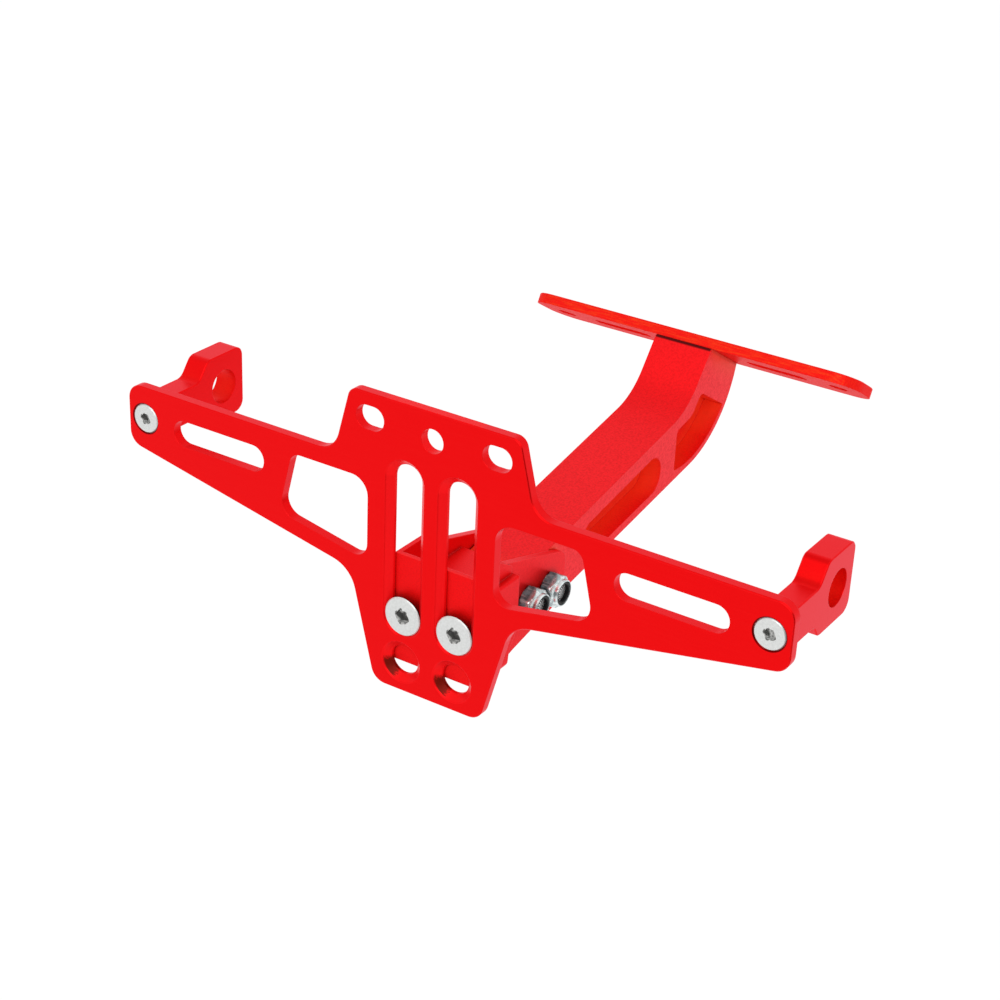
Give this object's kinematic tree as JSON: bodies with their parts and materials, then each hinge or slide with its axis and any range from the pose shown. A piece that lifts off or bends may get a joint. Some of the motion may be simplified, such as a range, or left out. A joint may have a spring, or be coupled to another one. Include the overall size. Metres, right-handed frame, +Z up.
{
  "type": "number plate bracket",
  "caption": "Cross-shaped plate carrier on a forked clamp block and a long arm, with indicator ears, hung from a mounting plate under a motorcycle's tail.",
  "frame": {"origin": "on the front face of the plate carrier, midway between its arms, level with the middle of the two long arm slots", "axes": "+X to the right seen from behind the motorcycle, +Y forward to the motorcycle, +Z up, with the number plate upright"},
  "size_m": [0.291, 0.2175, 0.1193],
  "materials": {
    "red_front": "anodised, fine matt",
    "red_bracket": "anodised, fine matt",
    "red_block": "anodised, fine matt",
    "red_arm": "anodised, fine matt",
    "red_mount": "anodised, fine matt",
    "steel_screw": "satin",
    "steel_bolt": "satin",
    "steel_washer": "satin",
    "zinc_nut": "bright plated",
    "black_nylon": "matt"
  },
  "bodies": {
    "arm_body": {"arm": "red_arm", "mount_plate": "red_mount", "mount_screw_front": "steel_screw", "mount_screw_back": "steel_screw"},
    "clamp_body": {"clamp_block": "red_block", "plate_screw_left": "steel_screw", "plate_screw_right": "steel_screw", "pivot_bolt": "steel_bolt", "pivot_washer_head": "steel_washer", "pivot_nut": "zinc_nut", "pivot_nut_ring": "black_nylon", "lock_bolt": "steel_bolt", "lock_washer_head": "steel_washer", "lock_nut": "zinc_nut", "lock_nut_ring": "black_nylon"},
    "carrier_body": {"plate_carrier": "red_front", "signal_bracket_left": "red_bracket", "signal_bracket_right": "red_bracket", "signal_screw_left": "steel_screw", "signal_screw_right": "steel_screw"}
  },
  "joints": [
    {"name": "plate_tilt", "type": "hinge", "parent": "arm_body", "child": "clamp_body", "pos_m": [0, 0.0422, -0.0474], "axis": [1, 0, 0], "range_deg": [-25, 10]},
    {"name": "plate_height", "type": "slide", "parent": "clamp_body", "child": "carrier_body", "axis": [0, 0, 1], "range_m": [-0.0559, 0]}
  ]
}
